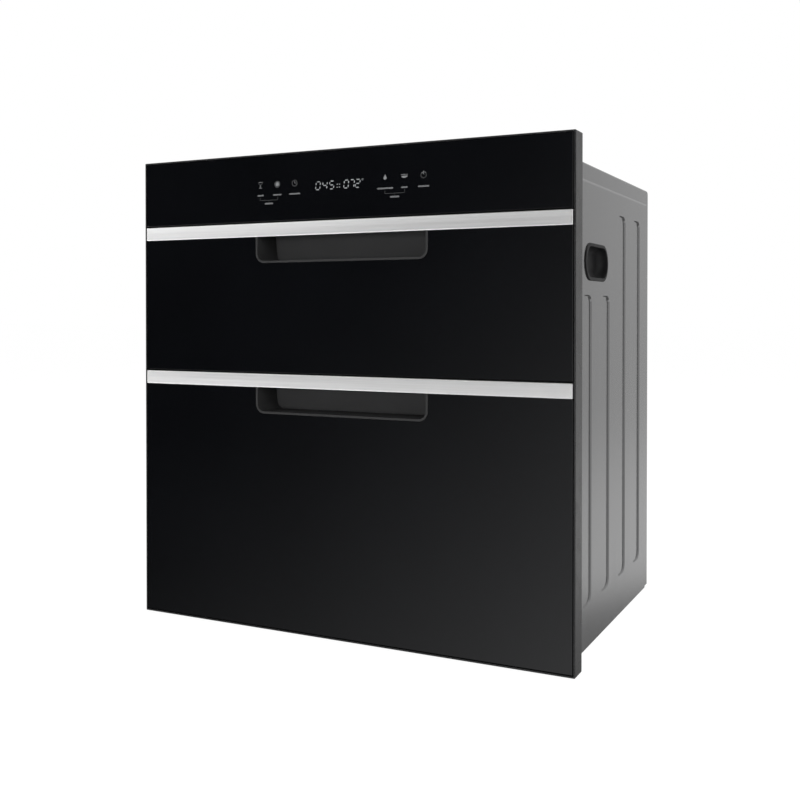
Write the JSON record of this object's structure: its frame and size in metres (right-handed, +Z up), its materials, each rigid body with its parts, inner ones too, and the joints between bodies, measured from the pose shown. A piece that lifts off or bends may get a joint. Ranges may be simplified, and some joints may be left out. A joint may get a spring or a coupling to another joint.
{
  "type": "built-in dish dryer",
  "caption": "Built-in dish dryer: black glass control panel over pull-out drawers with finger recesses under brushed steel strips, grey ribbed steel body.",
  "frame": {"origin": "on the flat underside of the base pan, midway across the width and midway between the front and back of the steel body", "axes": "+X to the user's right, -Y towards the user (the glass fronts face -Y), +Z up"},
  "size_m": [0.595, 0.438, 0.6015],
  "materials": {
    "surround_grey": "satin",
    "body_sheet": "matt",
    "grip_black": "matt",
    "screw_steel": "satin",
    "gland_black": "matt",
    "front_glass": "gloss",
    "trim_steel": "brushed",
    "pull_grey": "satin",
    "pan_sheet": "matt",
    "seal_rubber": "matt",
    "magnet_grey": "matt",
    "carrier_plastic": "matt",
    "board_green": "satin",
    "display_dark": "gloss",
    "sensor_white": "matt",
    "liner_steel": "satin",
    "duct_steel": "satin",
    "fan_plastic": "matt",
    "motor_metal": "satin",
    "heater_alloy": "satin",
    "quartz_tube": "gloss",
    "lamp_glass": "gloss",
    "socket_white": "gloss",
    "tray_plastic": "matt",
    "ozone_case": "matt",
    "runner_steel": "satin",
    "cradle_steel": "satin",
    "drip_tray_steel": "satin",
    "basket_steel": "satin",
    "wire_steel": "polished",
    "cutlery_steel": "satin"
  },
  "bodies": {
    "cabinet": {"side_panel_left": "body_sheet", "side_panel_right": "body_sheet", "carry_grip_left": "grip_black", "carry_grip_right": "grip_black", "top_cover": "body_sheet", "base_pan": "body_sheet", "rear_panel": "body_sheet", "casing_screws": "screw_steel", "cable_gland": "gland_black", "surround_frame": "surround_grey", "control_glass": "front_glass", "control_carrier": "carrier_plastic", "touch_board": "board_green", "display_module": "display_dark", "reed_switches": "sensor_white", "upper_liner": "liner_steel", "lower_liner": "liner_steel", "air_duct": "duct_steel", "fan_housing": "fan_plastic", "fan_motor": "motor_metal", "ptc_heater": "heater_alloy", "quartz_heater": "quartz_tube", "uv_lamp": "lamp_glass", "uv_lamp_sockets": "socket_white", "electronics_tray": "tray_plastic", "power_board": "board_green", "ozone_generator": "ozone_case", "upper_runner_outer_left": "runner_steel", "upper_runner_outer_right": "runner_steel", "lower_runner_outer_left": "runner_steel", "lower_runner_outer_right": "runner_steel"},
    "upper_drawer": {"upper_front_glass": "front_glass", "upper_trim_strip": "trim_steel", "upper_finger_pull": "pull_grey", "upper_door_pan": "pan_sheet", "upper_door_seal": "seal_rubber", "upper_door_magnet": "magnet_grey", "upper_drawer_cradle": "cradle_steel", "upper_drip_tray": "drip_tray_steel", "upper_dish_basket": "basket_steel", "upper_runner_inner_left": "runner_steel", "upper_runner_inner_right": "runner_steel", "cutlery_holder": "cutlery_steel"},
    "lower_drawer": {"lower_front_glass": "front_glass", "lower_trim_strip": "trim_steel", "lower_finger_pull": "pull_grey", "lower_door_pan": "pan_sheet", "lower_door_seal": "seal_rubber", "lower_door_magnet": "magnet_grey", "lower_drawer_cradle": "cradle_steel", "lower_drip_tray": "drip_tray_steel", "lower_dish_basket": "basket_steel", "lower_runner_inner_left": "runner_steel", "lower_runner_inner_right": "runner_steel", "plate_holder": "wire_steel"},
    "upper_runner_middle": {"upper_runner_middle_left": "runner_steel", "upper_runner_middle_right": "runner_steel"},
    "lower_runner_middle": {"lower_runner_middle_left": "runner_steel", "lower_runner_middle_right": "runner_steel"},
    "fan": {"fan_wheel": "fan_plastic"}
  },
  "joints": [
    {"name": "upper_drawer_slide", "type": "slide", "parent": "cabinet", "child": "upper_drawer", "axis": [0, -1, 0], "range_m": [0, 0.32]},
    {"name": "lower_drawer_slide", "type": "slide", "parent": "cabinet", "child": "lower_drawer", "axis": [0, -1, 0], "range_m": [0, 0.32]},
    {"name": "upper_runner_slide", "type": "slide", "parent": "cabinet", "child": "upper_runner_middle", "axis": [0, -1, 0], "range_m": [0, 0.16]},
    {"name": "lower_runner_slide", "type": "slide", "parent": "cabinet", "child": "lower_runner_middle", "axis": [0, -1, 0], "range_m": [0, 0.16]},
    {"name": "fan_spin", "type": "hinge", "parent": "cabinet", "child": "fan", "pos_m": [0, 0.16, 0.4363], "axis": [0, 1, 0], "continuous": true}
  ],
  "couplings": [
    {"joint": "upper_runner_slide", "follows": "upper_drawer_slide", "ratio": 0.5},
    {"joint": "lower_runner_slide", "follows": "lower_drawer_slide", "ratio": 0.5}
  ]
}
